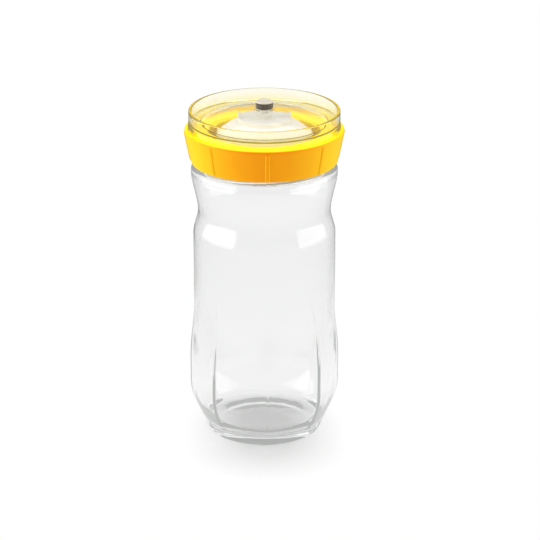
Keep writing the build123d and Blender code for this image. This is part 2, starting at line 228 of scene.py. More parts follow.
class Colours(PropertyGroup):
    """Colours of the materials, in linear light."""

    lid: colour("Lid", (0.88, 0.215, 0.001), "Warm orange-yellow plastic of the skirt")
    lid_shift: colour("Lid drift", (0.90, 0.25, 0.001), "The yellow where the moulding is thin")
    # Painted light: the lighter yellow that the lid turns to towards its outline, for side light through the
    # plastic.
    lid_painted_edge_light: colour("Lid edge", (1.0, 0.69, 0.012), "The yellow where the lid is seen from the side")
    # Painted light: the inside of the lip is painted a brighter yellow than the skirt, for daylight through
    # the plastic; it is also the colour of the painted glow.
    lid_inside_painted_bright: colour("Lid inside", (1.0, 0.72, 0.001), "Brighter yellow inside the lip")
    # Painted glow: emission on the inside of the lip for daylight through the plastic, with more of it under
    # the clear cover.
    lid_painted_glow: share("Lid glow", 0.3, "Daylight that comes through the lip to its inside")
    under_cover_painted_glow: share("Cover glow", 0.25, "More of it on what lies under the clear cover")
    white: colour("White plastic", (0.88, 0.87, 0.84), "White plastic")
    white_shift: colour("White drift", (0.90, 0.88, 0.82), "White plastic where it has aged")
    glass: colour("Glass", (0.953, 0.956, 0.954), "Tint of the glass's surface")
    glass_depth: colour("Glass depth", (0.02, 0.06, 0.04), "What is left of white light deep in the glass")
    glass_density: amount("Glass density", 1.5, "How fast the glass darkens")
    # Painted glow that ends rays which bounce too often in the glass.
    glass_painted_fill: colour("Glass trapped", (0.48, 0.49, 0.48), "Light that stays caught in the glass")
    cover: colour("Cover", (1.0, 0.985, 0.91), "Tint of the clear plastic")
    # Painted reflection: the lid's yellow, painted into the rim's tint near the cover's foot.
    cover_foot_painted_reflection: colour("Cover foot", (1.0, 0.90, 0.40), "Tint of the rim where it meets the lid")
    # Painted glow that ends rays which bounce too often in the cover.
    cover_painted_fill: colour("Cover trapped", (0.45, 0.37, 0.10), "Light that stays caught in the cover")
    plug: colour("Plug", (0.075, 0.060, 0.056), "Dark brown-grey rubber")
    plug_shift: colour("Plug drift", (0.105, 0.088, 0.080), "The rubber where it is worn")
    # Partly the plug's pale top, partly a painted reflection of the white surroundings.
    plug_top_pale_and_reflection: colour("Plug top", (0.66, 0.60, 0.50), "The pale skin of the plug's top and stem")
    seal: colour("Seal", (0.82, 0.81, 0.77), "Milky silicone")
    steel: colour("Steel", (0.62, 0.61, 0.59), "Bright spring steel")
    floor: colour("Floor", (0.66, 0.66, 0.66), "Pale floor")


class StageSettings(PropertyGroup):
    """Camera and light."""

    azimuth: degrees("Azimuth", -2.4, "Turn of the camera round the jar")
    pitch: degrees("Pitch", 20.5, "How far the camera looks down")
    distance: millimetres("Distance", 2026, "From the camera to the point that it looks at")
    target_height: millimetres("Target height", 123.6, "Height of the point that the camera looks at")
    lens: amount("Lens", 182.3, "Focal length in millimetres")
    shift: amount("Shift", 0.0104, "Sideways shift of the view")
    left_power: amount("Left softbox", 17.0, "Power in watts")
    right_power: amount("Right softbox", 11.0, "Power in watts")
    top_power: amount("Top softbox", 2.5, "Power in watts")
    ambient: amount("Ambient", 0.85, "Level of the soft light all round")
    room: amount("Room", 0.12, "Level that gloss sees overhead")
    white_up_to: degrees("White up to", -4, "Height over the horizon that stays white")
    dim_from: degrees("Dim from", 2, "Height over the horizon where the room is dim")
    floor_glow: share("Floor glow", 0.15, "Share of the near floor that reads as plain white")
    shadow_start: millimetres("Shadow start", 15, "Distance up to which the shadow shows in full")
    shadow_end: millimetres("Shadow end", 59, "Distance at which the shadow has died away")
    shadow_reach: millimetres("Shadow reach", 45, "How far the shadow's middle line runs out in front")
    far_level: share("Far level", 0.2, "Level that gloss sees on the far floor")
    bent_level: share("Bent level", 0.75, "Lowest level that is seen through something clear")
    near_floor: millimetres("Near floor", 150, "Radius of the floor that gloss sees as white")
    far_floor: millimetres("Far floor", 450, "Radius from which gloss sees the floor as dim")


def curve_corner(radius, height, rounding=0.0, pieces=1):
    """A point of an outline, its rounding, and the pieces of the line that follows it."""
    return radius, height, rounding, pieces


def rounded(corners, closed=True, steps=5):
    """The outline through the corners, with each rounding drawn as a short curve."""
    outline = []
    count = len(corners)
    for index, (radius, height, rounding, pieces) in enumerate(corners):
        at = Vector((radius, height))
        before = Vector(corners[index - 1][:2])
        after = Vector(corners[(index + 1) % count][:2])
        if rounding > 0:
            start = at + (before - at).normalized() * rounding
            end = at + (after - at).normalized() * rounding
            for step in range(steps + 1):
                part = step / steps
                outline.append(start.lerp(at, part).lerp(at.lerp(end, part), part))
        else:
            outline.append(at)
        if pieces > 1 and (closed or index < count - 1):
            following = corners[(index + 1) % count][2]
            last = after + (at - after).normalized() * following
            first = outline[-1]
            for piece in range(1, pieces):
                outline.append(first.lerp(last, piece / pieces))
    return [tuple(point) for point in outline]


def s_curve(start, end, count):
    """Corners of an S whose ends are upright."""
    corners = []
    for index in range(count):
        part = index / count
        eased = part * part * (3 - 2 * part)
        radius = start[0] + (end[0] - start[0]) * eased
        corners.append(curve_corner(radius, start[1] + (end[1] - start[1]) * part))
    return corners


def crown_height(radius, foot_radius, foot_height, rise):
    """Height of a shallow ball over its foot circle."""
    ball = (foot_radius**2 + rise**2) / (2 * rise)
    return foot_height + rise - ball + sqrt(ball**2 - radius**2)


def crown(foot_radius, foot_height, rise, inner_radius, count):
    """Corners of a shallow ball's arc, from near the axis out to its foot circle."""
    corners = []
    for index in range(count + 1):
        radius = inner_radius + (foot_radius - inner_radius) * index / count
        corners.append(curve_corner(radius, crown_height(radius, foot_radius, foot_height, rise)))
    return corners


def spread_angles(offsets):
    """Angles all round, with the given offsets in degrees on both sides of each rib or ridge."""
    offsets = [radians(offset) for offset in offsets]
    angles = []
    for side in range(SIDES):
        angles += [side * STEP + offset for offset in offsets]
        angles += [(side + 1) * STEP - offset for offset in reversed(offsets[1:-1])]
    return angles


def from_ridge(angle):
    """Angle from the nearest rib or ridge."""
    turn = angle % STEP
    return min(turn, STEP - turn)


RIDGE_ANGLES = spread_angles((0, 0.3, 0.6, 0.9, 1.2, 1.6, 2.2, 3.2, 5, 7.5, 10.5, 14, 18, 22.5))
RIB_ANGLES = spread_angles((0, 0.8, 1.3, 1.45, 1.6, 1.75, 1.95, 3, 5, 8, 11, 14.5, 18.5, 22.5))
ROUND_ANGLES = [tau * index / 144 for index in range(144)]


def unchanged(radius, height, angle):
    """A plain round surface."""
    return radius, height


def spun_mesh(name, outline, angles, shape=unchanged, closed=True, sharp=radians(38)):
    """A mesh made by turning an outline about Z, with an optional change of each point."""
    vertices = []
    for angle in angles:
        for radius, height in outline:
            r, z = shape(radius, height, angle)
            vertices.append((r * cos(angle), r * sin(angle), z))
    size = len(outline)
    rings = len(angles)
    faces = []
    for ring in range(rings):
        this = ring * size
        following = (ring + 1) % rings * size
        for point in range(size if closed else size - 1):
            other = (point + 1) % size
            faces.append((this + point, following + point, following + other, this + other))
    return finished_mesh(name, vertices, faces, sharp)


def finished_mesh(name, vertices, faces, sharp):
    """Links a clean, smooth mesh whose steep edges stay sharp."""
    mesh = bpy.data.meshes.new(name)
    mesh.from_pydata(vertices, [], faces)
    clean = bmesh.new()
    clean.from_mesh(mesh)
    bmesh.ops.remove_doubles(clean, verts=clean.verts, dist=MERGE_DISTANCE)
    bmesh.ops.dissolve_degenerate(clean, edges=clean.edges, dist=MERGE_DISTANCE)
    bmesh.ops.recalc_face_normals(clean, faces=clean.faces)
    clean.to_mesh(mesh)
    clean.free()
    mesh.shade_smooth()
    mesh.set_sharp_from_angle(angle=sharp)
    piece = bpy.data.objects.new(name, mesh)
    bpy.context.scene.collection.objects.link(piece)
    return piece


def rounded_block(centre, size, rounding):
    """Vertices and faces of a block with soft edges."""
    block = bmesh.new()
    bmesh.ops.create_cube(block, size=1, matrix=Matrix.Translation(centre) @ Matrix.Diagonal((*size, 1)))
    bmesh.ops.bevel(block, geom=block.edges[:], offset=rounding, segments=3, affect="EDGES", profile=0.5)
    block.verts.index_update()
    vertices = [tuple(vertex.co) for vertex in block.verts]
    faces = [tuple(vertex.index for vertex in face.verts) for face in block.faces]
    block.free()
    return vertices, faces


def joined(name, piece, blocks, sharp):
    """Adds the blocks' faces to a piece's mesh."""
    vertices = [tuple(vertex.co) for vertex in piece.data.vertices]
    faces = [tuple(face.vertices) for face in piece.data.polygons]
    for block_vertices, block_faces in blocks:
        first = len(vertices)
        vertices += block_vertices
        faces += [tuple(first + index for index in face) for face in block_faces]
    bpy.data.objects.remove(piece)
    return finished_mesh(name, vertices, faces, sharp)


def seated(piece, node, body, material):
    """Puts a finished piece in its node's place, on its body."""
    piece.data.materials.append(material)
    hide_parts(node)
    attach(piece, body)
    return piece


def level(node, end):
    """Height of a node's lower (0) or upper (1) end."""
    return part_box(node)[end].z


def group_socket(group, name, in_out, kind, default=None):
    """Adds a named socket to a shader node group."""
    socket = group.interface.new_socket(name=name, in_out=in_out, socket_type=kind)
    if default is not None:
        socket.default_value = default
    return socket


def new_group(name, inputs, outputs):
    """A shader node group, with its input and output nodes."""
    group = bpy.data.node_groups.new(name, "ShaderNodeTree")
    for label, kind, default in inputs:
        group_socket(group, label, "INPUT", kind, default)
    for label, kind in outputs:
        group_socket(group, label, "OUTPUT", kind)
    source = group.nodes.new("NodeGroupInput")
    target = group.nodes.new("NodeGroupOutput")
    return group, source, target


def add_node(tree, kind, **settings):
    """A new node with its settings and its input values by name."""
    node = tree.nodes.new(kind)
    for key, value in settings.items():
        if key == "values":
            for label, number in value.items():
                node.inputs[label].default_value = number
        else:
            setattr(node, key, value)
    return node


def maths(tree, operation, first, second, clamp=False):
    """A Math node between two sockets or numbers."""
    node = tree.nodes.new("ShaderNodeMath")
    node.operation = operation
    node.use_clamp = clamp
    for socket, value in zip(node.inputs, (first, second)):
        if isinstance(value, (int, float)):
            socket.default_value = value
        else:
            tree.links.new(value, socket)
    return node.outputs[0]


def place_sockets(tree):
    """Sockets for a point's flat position, its distance from the axis, its height and its normal."""
    place = tree.nodes.new("ShaderNodeTexCoord")
    flat = add_node(tree, "ShaderNodeVectorMath", operation="MULTIPLY")
    flat.inputs[1].default_value = (1, 1, 0)
    reach = add_node(tree, "ShaderNodeVectorMath", operation="LENGTH")
    parts = tree.nodes.new("ShaderNodeSeparateXYZ")
    tree.links.new(place.outputs["Object"], flat.inputs[0])
    tree.links.new(flat.outputs["Vector"], reach.inputs[0])
    tree.links.new(place.outputs["Object"], parts.inputs["Vector"])
    return flat.outputs["Vector"], reach.outputs["Value"], parts.outputs["Z"], place.outputs["Normal"]


def object_noise(tree, size, detail, roughness=0.5, distortion=0.0):
    """Noise in the object's own space whose grain is as large as the size socket or number says."""
    place = tree.nodes.new("ShaderNodeTexCoord")
    settings = {"Detail": detail, "Roughness": roughness, "Distortion": distortion}
    noise = add_node(tree, "ShaderNodeTexNoise", values=settings)
    tree.links.new(place.outputs["Object"], noise.inputs["Vector"])
    tree.links.new(maths(tree, "DIVIDE", 1.0, size), noise.inputs["Scale"])
    return noise.outputs["Fac"]


FLOAT = "NodeSocketFloat"
COLOUR = "NodeSocketColor"


def moulded_skin_group():
    """Fine grain and slow flow of moulded plastic or rubber."""
    name = "Moulded skin"
    if name in bpy.data.node_groups:
        return bpy.data.node_groups[name]
    group, source, target = new_group(
        name,
        (
            ("Grain size", FLOAT, 0.0006),
            ("Grain depth", FLOAT, 0.3),
            ("Flow size", FLOAT, 0.03),
            ("Roughness", FLOAT, 0.35),
            ("Roughness spread", FLOAT, 0.1),
        ),
        (("Height", FLOAT), ("Roughness", FLOAT)),
    )
    grain = object_noise(group, source.outputs["Grain size"], 3.0)
    flow = object_noise(group, source.outputs["Flow size"], 2.0, distortion=0.6)
    fine = maths(group, "MULTIPLY", grain, source.outputs["Grain depth"])
    height = maths(group, "ADD", fine, flow)
    centred = maths(group, "SUBTRACT", flow, 0.5)
    spread = maths(group, "MULTIPLY", centred, source.outputs["Roughness spread"])
    roughness = maths(group, "ADD", source.outputs["Roughness"], spread, clamp=True)
    group.links.new(height, target.inputs["Height"])
    group.links.new(roughness, target.inputs["Roughness"])
    return group


def colour_drift_group():
    """A colour that wanders a little towards a second one."""
    name = "Colour drift"
    if name in bpy.data.node_groups:
        return bpy.data.node_groups[name]
    group, source, target = new_group(
        name,
        (
            ("Color", COLOUR, (0.8, 0.8, 0.8, 1)),
            ("Second color", COLOUR, (0.7, 0.7, 0.7, 1)),
            ("Size", FLOAT, 0.02),
        ),
        (("Color", COLOUR),),
    )
    drift = object_noise(group, source.outputs["Size"], 4.0)
    spread = add_node(group, "ShaderNodeMapRange", values={"From Min": 0.35, "From Max": 0.65})
    group.links.new(drift, spread.inputs["Value"])
    mix = add_node(group, "ShaderNodeMix", data_type="RGBA")
    group.links.new(spread.outputs["Result"], mix.inputs["Factor"])
    group.links.new(source.outputs["Color"], mix.inputs[6])
    group.links.new(source.outputs["Second color"], mix.inputs[7])
    group.links.new(mix.outputs[2], target.inputs["Color"])
    return group


def cast_waves_group():
    """Slow waves left by casting or moulding in something clear."""
    name = "Cast waves"
    if name in bpy.data.node_groups:
        return bpy.data.node_groups[name]
    group, source, target = new_group(
        name,
        (("Wave size", FLOAT, 0.02), ("Ripple size", FLOAT, 0.006), ("Ripple share", FLOAT, 0.1)),
        (("Height", FLOAT),),
    )
    wave = object_noise(group, source.outputs["Wave size"], 1.0)
    ripple = object_noise(group, source.outputs["Ripple size"], 1.0)
    small = maths(group, "MULTIPLY", ripple, source.outputs["Ripple share"])
    group.links.new(maths(group, "ADD", wave, small), target.inputs["Height"])
    return group


def new_material(name):
    """An empty material, its Principled shader and its output node."""
    material = bpy.data.materials.new(name)
    material.use_nodes = True
    tree = material.node_tree
    tree.nodes.clear()
    output = tree.nodes.new("ShaderNodeOutputMaterial")
    shader = tree.nodes.new("ShaderNodeBsdfPrincipled")
    tree.links.new(shader.outputs["BSDF"], output.inputs["Surface"])
    return material, shader, output


def place_group(tree, group, **values):
    """Places a node group with its own input values."""
    node = tree.nodes.new("ShaderNodeGroup")
    node.node_tree = group
    for label, number in values.items():
        node.inputs[label.replace("_", " ")].default_value = number
    return node


def bump_from(tree, height, distance, shader, strength=1.0):
    """Feeds a height through a Bump node into the shader's normal."""
    bump = add_node(tree, "ShaderNodeBump", values={"Distance": distance, "Strength": strength})
    tree.links.new(height, bump.inputs["Height"])
    tree.links.new(bump.outputs["Normal"], shader.inputs["Normal"])


def moulded_skin(grain_size, grain_depth, flow_size, roughness, spread):
    """Input values of the moulded skin group."""
    return {
        "Grain_size": grain_size,
        "Grain_depth": grain_depth,
        "Flow_size": flow_size,
        "Roughness": roughness,
        "Roughness_spread": spread,
    }


def moulded_material(name, base, second, skin, bump_distance, **sockets):
    """Moulded plastic or rubber: drifting colour, grain and flow marks."""
    if name in bpy.data.materials:
        return bpy.data.materials[name]
    material, shader, _ = new_material(name)
    tree = material.node_tree
    drift = place_group(tree, colour_drift_group(), Color=(*base, 1), Second_color=(*second, 1), Size=0.018)
    tree.links.new(drift.outputs["Color"], shader.inputs["Base Color"])
    marks = place_group(tree, moulded_skin_group(), **skin)
    tree.links.new(marks.outputs["Roughness"], shader.inputs["Roughness"])
    bump_from(tree, marks.outputs["Height"], bump_distance, shader)
    for label, value in sockets.items():
        shader.inputs[label.replace("_", " ")].default_value = value
    return material


MOST_MIRRORINGS = 2.5
MOST_BOUNCES = 8.5


def clear_material(name, tint, index, roughness, waves, bump_distance, shadow, painted_fill):
    """A clear solid that lets soft light through; rays that have bounced too often end in a painted glow
    instead of going dark.
    """
    if name in bpy.data.materials:
        return bpy.data.materials[name]
    material, shader, output = new_material(name)
    tree = material.node_tree
    shader.inputs["Base Color"].default_value = (*tint, 1)
    shader.inputs["Roughness"].default_value = roughness
    shader.inputs["IOR"].default_value = index
    shader.inputs["Transmission Weight"].default_value = 1.0
    marks = place_group(tree, cast_waves_group(), **waves)
    bump_from(tree, marks.outputs["Height"], bump_distance, shader)
    light = tree.nodes.new("ShaderNodeLightPath")
    through = add_node(tree, "ShaderNodeBsdfTransparent")
    through.inputs["Color"].default_value = (shadow, shadow, shadow, 1)
    mix = tree.nodes.new("ShaderNodeMixShader")
    plain = maths(tree, "MAXIMUM", light.outputs["Is Shadow Ray"], light.outputs["Is Diffuse Ray"])
    tree.links.new(plain, mix.inputs[0])
    tree.links.new(shader.outputs["BSDF"], mix.inputs[1])
    tree.links.new(through.outputs["BSDF"], mix.inputs[2])
    # Painted glow: a ray mirrored three times or more, or bounced nine times or more, ends here in a soft
    # glow.
    soft = add_node(tree, "ShaderNodeEmission", values={"Strength": 1.0})
    soft.inputs["Color"].default_value = (*painted_fill, 1)
    mirrored = maths(tree, "GREATER_THAN", light.outputs["Glossy Depth"], MOST_MIRRORINGS)
    deep = maths(tree, "GREATER_THAN", light.outputs["Ray Depth"], MOST_BOUNCES)
    end = tree.nodes.new("ShaderNodeMixShader")
    tree.links.new(maths(tree, "MAXIMUM", mirrored, deep), end.inputs[0])
    tree.links.new(mix.outputs["Shader"], end.inputs[1])
    tree.links.new(soft.outputs["Emission"], end.inputs[2])
    tree.links.new(end.outputs["Shader"], output.inputs["Surface"])
    return material


def lid_plastic(colours, bore_radius, ceiling):
    """Warm yellow moulded plastic with a soft gloss; painted light turns its outline lighter yellow and
    paints the inside of its lip brighter and glowing.
    """
    material = moulded_material(
        "Lid plastic",
        colours.lid,
        colours.lid_shift,
        moulded_skin(0.0007, 0.25, 0.02, 0.3, 0.12),
        0.00012,
        IOR=1.49,
        Specular_IOR_Level=0.1,
    )
    tree = material.node_tree
    shader = tree.nodes["Principled BSDF"]
    flat, reach, height, normal = place_sockets(tree)
    # Faces that do not look outward take the inside yellow, painted brighter for the light through the
    # plastic.
    facing = add_node(tree, "ShaderNodeVectorMath", operation="DOT_PRODUCT")
    lying = bore_radius * 0.1
    upright = bore_radius * 0.8
    outward = add_node(tree, "ShaderNodeMapRange", values={"From Min": lying, "From Max": upright})
    mix = add_node(tree, "ShaderNodeMix", data_type="RGBA")
    mix.inputs[6].default_value = (*colours.lid_inside_painted_bright, 1)
    tree.links.new(flat, facing.inputs[0])
    tree.links.new(normal, facing.inputs[1])
    tree.links.new(facing.outputs["Value"], outward.inputs["Value"])
    tree.links.new(outward.outputs["Result"], mix.inputs["Factor"])
    # Painted light: by viewing angle, the lid's colour turns to a lighter yellow towards its outline,
    # standing in for side light through the plastic.
    rim = add_node(tree, "ShaderNodeLayerWeight", values={"Blend": 0.7})
    glow = add_node(tree, "ShaderNodeMix", data_type="RGBA")
    glow.inputs[7].default_value = (*colours.lid_painted_edge_light, 1)
    tree.links.new(rim.outputs["Facing"], glow.inputs["Factor"])
    tree.links.new(shader.inputs["Base Color"].links[0].from_socket, glow.inputs[6])
    tree.links.new(glow.outputs[2], mix.inputs[7])
    tree.links.new(mix.outputs[2], shader.inputs["Base Color"])
    # Painted glow: inward faces above the skirt's ceiling glow in the inside yellow, more so under the
    # cover, standing in for light through the plastic.
    upper = maths(tree, "GREATER_THAN", height, ceiling)
    inward = maths(tree, "SUBTRACT", upper, outward.outputs["Result"], clamp=True)
    covered = maths(tree, "LESS_THAN", reach, bore_radius + 0.3 * MILLIMETRE)
    level = maths(tree, "ADD", maths(tree, "MULTIPLY", covered, colours.under_cover_painted_glow), colours.lid_painted_glow)
    tree.links.new(maths(tree, "MULTIPLY", inward, level), shader.inputs["Emission Strength"])
    shader.inputs["Emission Color"].default_value = (*colours.lid_inside_painted_bright, 1)
    return material


def white_plastic(colours):
    """White moulded plastic."""
    return moulded_material(
        "White plastic",
        colours.white,
        colours.white_shift,
        moulded_skin(0.0006, 0.2, 0.02, 0.38, 0.1),
        0.0001,
        IOR=1.49,
    )


def plug_rubber(colours, seat, top):
    """Dark rubber with a dull gloss, pale on its top and on its stem; the top's pale colour is partly its
    own pale skin and partly a painted reflection of the white surroundings.
    """
    material = moulded_material(
        "Plug rubber",
        colours.plug,
        colours.plug_shift,
        moulded_skin(0.0004, 0.35, 0.008, 0.42, 0.15),
        0.00008,
        IOR=1.5,
    )
    tree = material.node_tree
    shader = tree.nodes["Principled BSDF"]
    _, _, height, _ = place_sockets(tree)
    over_seat = maths(tree, "GREATER_THAN", height, seat)
    under_top = maths(tree, "LESS_THAN", height, top)
    side = maths(tree, "MULTIPLY", over_seat, under_top)
    # Over the seat the top is pale, partly a painted reflection of the white surroundings; under the seat
    # the stem takes the white plastic colour.
    mix = add_node(tree, "ShaderNodeMix", data_type="RGBA")
    pale = add_node(tree, "ShaderNodeMix", data_type="RGBA")
    pale.inputs[6].default_value = (*colours.white, 1)
    pale.inputs[7].default_value = (*colours.plug_top_pale_and_reflection, 1)
    tree.links.new(over_seat, pale.inputs["Factor"])
    tree.links.new(pale.outputs[2], mix.inputs[6])
    tree.links.new(side, mix.inputs["Factor"])
    tree.links.new(shader.inputs["Base Color"].links[0].from_socket, mix.inputs[7])
    tree.links.new(mix.outputs[2], shader.inputs["Base Color"])
    return material


def seal_silicone(colours):
    """Milky silicone."""
    return moulded_material(
        "Seal silicone",
        colours.seal,
        colours.seal,
        moulded_skin(0.0005, 0.3, 0.01, 0.5, 0.1),
        0.00008,
        IOR=1.41,
        Transmission_Weight=0.25,
    )


def jar_glass(colours):
    """Thick pressed glass, greyer where it is thicker."""
    material = clear_material(
        "Jar glass",
        colours.glass,
        index=1.5,
        roughness=0.0,
        waves={"Wave_size": 0.022, "Ripple_size": 0.006, "Ripple_share": 0.06},
        bump_distance=0.0003,
        shadow=0.88,
        painted_fill=colours.glass_painted_fill,
    )
    tree = material.node_tree
    depth = add_node(tree, "ShaderNodeVolumeAbsorption", values={"Density": colours.glass_density})
    depth.inputs["Color"].default_value = (*colours.glass_depth, 1)
    tree.links.new(depth.outputs["Volume"], tree.nodes["Material Output"].inputs["Volume"])
    return material


def cover_plastic(colours, wall_radius, low, high):
    """Clear moulded plastic, whose rim is tinted towards the lid's yellow near its foot: a painted
    reflection of the lid.
    """
    material = clear_material(
        "Clear plastic",
        colours.cover,
        index=1.38,
        roughness=0.02,
        waves={"Wave_size": 0.015, "Ripple_size": 0.004, "Ripple_share": 0.08},
        bump_distance=0.0002,
        shadow=0.95,
        painted_fill=colours.cover_painted_fill,
    )
    tree = material.node_tree
    _, reach, height, _ = place_sockets(tree)
    # Painted reflection: the rim wall's tint turns to the lid's yellow from its top down to the recess.
    rim = maths(tree, "GREATER_THAN", reach, wall_radius)
    fade = add_node(tree, "ShaderNodeMapRange", values={"From Min": high, "From Max": low})
    tree.links.new(height, fade.inputs["Value"])
    mix = add_node(tree, "ShaderNodeMix", data_type="RGBA")
    mix.inputs[6].default_value = (*colours.cover, 1)
    mix.inputs[7].default_value = (*colours.cover_foot_painted_reflection, 1)
    tree.links.new(maths(tree, "MULTIPLY", rim, fade.outputs["Result"]), mix.inputs["Factor"])
    tree.links.new(mix.outputs[2], tree.nodes["Principled BSDF"].inputs["Base Color"])
    return material


def spring_steel(colours):
    """Drawn steel wire, with fine marks along and dull patches."""
    name = "Spring steel"
    if name in bpy.data.materials:
        return bpy.data.materials[name]
    material, shader, _ = new_material(name)
    tree = material.node_tree
    shader.inputs["Base Color"].default_value = (*colours.steel, 1)
    shader.inputs["Metallic"].default_value = 1.0
    marks = place_group(tree, moulded_skin_group(), **moulded_skin(0.0003, 0.8, 0.004, 0.24, 0.15))
    tree.links.new(marks.outputs["Roughness"], shader.inputs["Roughness"])
    bump_from(tree, marks.outputs["Height"], 0.00003, shader)
    return material


def bowed_radius(panel, rise, angle, half_angle, sharpness):
    """Radius of the eight-sided body: bowed panels that meet in narrow ridges."""
    if rise < MERGE_DISTANCE:
        return panel
    half = STEP / 2
    ridge = panel + rise
    corner = ridge + sharpness * rise
    sagitta = panel - corner * cos(half)
    bow = ((corner * sin(half)) ** 2 + sagitta**2) / (2 * sagitta)
    centre = panel - bow

    def panel_arc(turn):
        return centre * cos(turn) + sqrt(bow**2 - (centre * sin(turn)) ** 2)

    off = from_ridge(angle)
    if off >= half_angle:
        return panel_arc(half - off)
    edge = panel_arc(half - half_angle)
    return edge + (ridge - edge) * (1 - (off / half_angle) ** 2)


THREAD_STEEPNESS = 2.2


def thread_height(height, angle, low, high, thread, depth, offset):
    """How far a thread stands out of its wall at a height and angle."""
    pitch = thread.lead / thread.starts
    place = height - low - offset - thread.lead * angle / tau
    away = abs((place + pitch / 2) % pitch - pitch / 2) / thread.half_width
    if away >= 1:
        return 0.0
    fade = min(height - low, high - height) / thread.margin
    return depth * max(0.0, min(1.0, fade)) * min(1.0, THREAD_STEEPNESS * (1 - away))


class JarPiece:
    """What the operators of the jar's pieces share."""

    bl_options = {"REGISTER"}

    def execute(self, context):
        self.make(context.scene.fermenter_jar)
        return {"FINISHED"}


class FERMENTER_OT_glass_jar(JarPiece, Operator):
    """Build the ribbed glass jar with its threaded neck"""

    bl_idname = "fermenter.glass_jar"
    bl_label = "Glass Jar"

    def make(self, jar):
        glass = jar.glass
        foot = level("glass_jar", 0)
        rim = level("glass_jar", 1)
        heel = foot + glass.heel_height
        taper_top = heel + glass.taper_height
        panel_top = taper_top + glass.panel_height
        fade_top = panel_top + glass.fade_height
        shoulder = fade_top + glass.straight_height
        groove = shoulder + glass.shoulder_drop
        bead = groove + glass.throat_rise
        neck = bead + glass.bead_height
        inner = glass.body_radius - glass.wall
        inner_groove = glass.groove_radius - glass.wall
        throat = glass.bead_radius - glass.wall - glass.throat_drop / 2
        floor = foot + glass.base

        def taper(height):
            """Share of the widening still to come at a height."""
            return max(0.0, 1 - (height - heel) / glass.taper_height) ** 2

        def panel_radius(height):
            if height < heel:
                widening = glass.heel_radius - glass.foot_radius
                return glass.foot_radius + widening * (height - foot) / glass.heel_height
            return glass.body_radius - (glass.body_radius - glass.heel_radius) * taper(height)

        def ridge_rise(height):
            if height < heel:
                return glass.heel_rise
            if height > panel_top:
                done = min(1.0, (height - panel_top) / glass.fade_height)
                return glass.ridge_rise * (1 - done) ** 2 * (1 + 2 * done)
            return glass.ridge_rise - (glass.ridge_rise - glass.heel_rise) * taper(height)

        def shape(radius, height, angle):
            panel = panel_radius(height)
            if height <= fade_top and radius > panel - glass.foot_round:
                ridged = bowed_radius(
                    panel, ridge_rise(height), angle, glass.ridge_half_angle, glass.ridge_sharpness
                )
                nearness = min(1.0, (radius - panel + glass.foot_round) / glass.foot_round)
                return radius + (ridged - panel) * nearness, height
            if floor < height <= fade_top and radius < panel - glass.foot_round:
                followed = bowed_radius(panel, ridge_rise(height), angle, 0.0, glass.ridge_sharpness) - panel
                return radius + followed * (radius / inner) ** 2, height
            if neck < height < rim and abs(radius - glass.neck_radius) < MERGE_DISTANCE:
                low = neck + MERGE_DISTANCE
                raised = thread_height(height, angle, low, rim, jar.thread, jar.thread.neck_depth, 0.0)
                return radius + raised, height
            return radius, height

        corners = []
        for index in range(9):
            radius = glass.punt_radius * index / 8
            height = crown_height(radius, glass.punt_radius, foot, glass.punt_depth)
            corners.append(curve_corner(radius, height))
        corners.append(curve_corner(glass.foot_radius, foot, glass.foot_round, 4))
        corners.append(curve_corner(glass.heel_radius, heel))
        for height in [heel + glass.taper_height * index / 16 for index in range(1, 17)]:
            corners.append(curve_corner(panel_radius(height), height))
        corners.append(curve_corner(glass.body_radius, panel_top, 0, 20))
        corners.append(curve_corner(glass.body_radius, fade_top, 0, 6))
        corners += s_curve((glass.body_radius, shoulder), (glass.groove_radius, groove), 16)
        corners += s_curve((glass.groove_radius, groove), (glass.bead_radius, bead), 22)
        for index in range(9):
            turn = pi / 2 * index / 8
            radius = glass.bead_radius - glass.bead_height * (1 - cos(turn))
            corners.append(curve_corner(radius, bead + glass.bead_height * sin(turn)))
        corners.append(curve_corner(glass.neck_radius, neck, 0, 46))
        corners.append(curve_corner(glass.neck_radius, rim, glass.rim_round))
        corners.append(curve_corner(glass.mouth_radius, rim, glass.rim_round, 4))
        top = neck + glass.throat_drop
        bottom = bead - glass.throat_drop
        corners += s_curve((glass.mouth_radius, top), (throat, bottom), 8)
        corners += s_curve((throat, bottom), (inner_groove, groove), 14)
        corners += s_curve((inner_groove, groove), (inner, shoulder), 14)
        corners.append(curve_corner(inner, shoulder, 0, 6))
        for index in range(17):
            turn = pi / 2 * index / 16
            radius = inner - glass.inner_corner * (1 - cos(turn))
            corners.append(curve_corner(radius, taper_top - (taper_top - floor) * sin(turn)))
        corners.append(curve_corner(0, floor))
        outline = rounded(corners, closed=False)
        piece = spun_mesh("glass_jar_piece", outline, RIDGE_ANGLES, shape, closed=False)
        seated(piece, "glass_jar", "jar", jar_glass(jar.colours))


class FERMENTER_OT_jar_gasket(JarPiece, Operator):
    """Build the silicone ring on the rim"""

    bl_idname = "fermenter.jar_gasket"
    bl_label = "Silicone Ring"

    def make(self, jar):
        low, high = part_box("jar_gasket")
        glass = jar.glass
        inner = glass.mouth_radius + jar.press.gasket_gap
        soft = jar.press.gasket_round
        corners = [
            curve_corner(inner, low.z, soft),
            curve_corner(high.x, low.z, soft),
            curve_corner(high.x, high.z, soft),
            curve_corner(inner, high.z, soft),
        ]
        piece = spun_mesh("jar_gasket_piece", rounded(corners), ROUND_ANGLES)
        seated(piece, "jar_gasket", "seal", seal_silicone(jar.colours))


